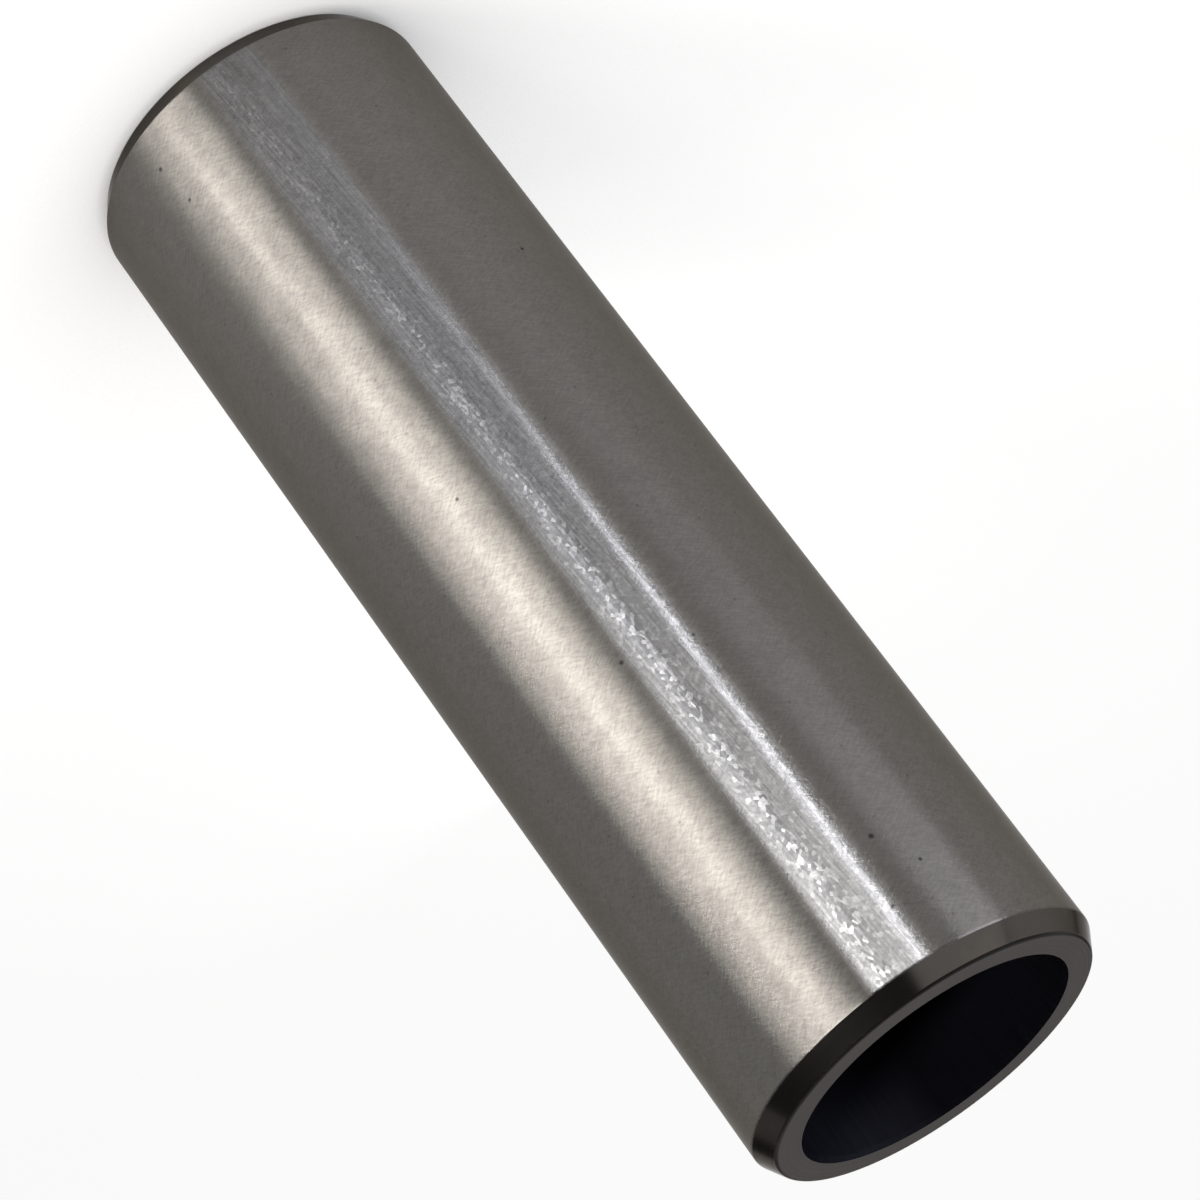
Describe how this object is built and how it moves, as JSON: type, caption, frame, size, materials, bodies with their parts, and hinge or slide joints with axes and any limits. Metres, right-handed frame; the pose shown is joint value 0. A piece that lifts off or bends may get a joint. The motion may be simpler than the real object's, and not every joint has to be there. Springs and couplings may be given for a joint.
{
  "type": "gudgeon pin",
  "caption": "Hollow ground steel tube with a lead chamfer at each end, which hinges a piston on its connecting rod.",
  "frame": {"origin": "middle of the lower end face, on the axis", "axes": "+Z along the axis of the pin, from the lower end face to the upper one; the pin stands on its lower end"},
  "size_m": [0.022, 0.022, 0.0725],
  "materials": {
    "ground_steel": "ground satin, grinding marks round the circumference, darker turned ends"
  },
  "bodies": {
    "root": {"gudgeon_pin": "ground_steel"}
  },
  "joints": []
}
